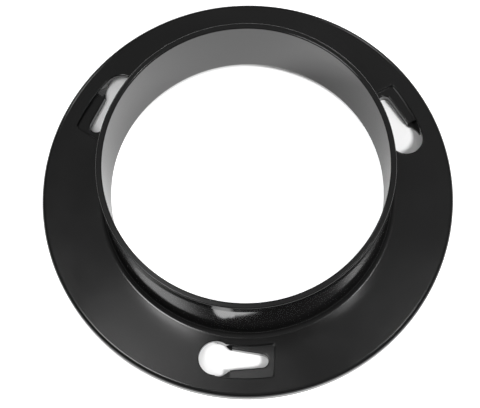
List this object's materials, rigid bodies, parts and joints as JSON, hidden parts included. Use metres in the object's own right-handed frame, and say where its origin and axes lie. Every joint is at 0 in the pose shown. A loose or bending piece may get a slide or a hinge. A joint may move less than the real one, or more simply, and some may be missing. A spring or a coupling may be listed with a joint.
{
  "type": "duct flange",
  "caption": "Round duct collar on a ring flange with ramped keyhole slots, which is turned onto screw heads to join a duct to a fan, filter or box.",
  "frame": {"origin": "on the collar's axis, in the plane that the flange stands on", "axes": "+Z along the collar's axis, from the flange to the collar's open end; one round keyhole entry lies 16.1 degrees from +X"},
  "size_m": [0.29, 0.29, 0.078],
  "materials": {
    "black_plastic": "moulded black ABS, semi-gloss"
  },
  "bodies": {
    "root": {"duct_flange": "black_plastic"}
  },
  "joints": []
}
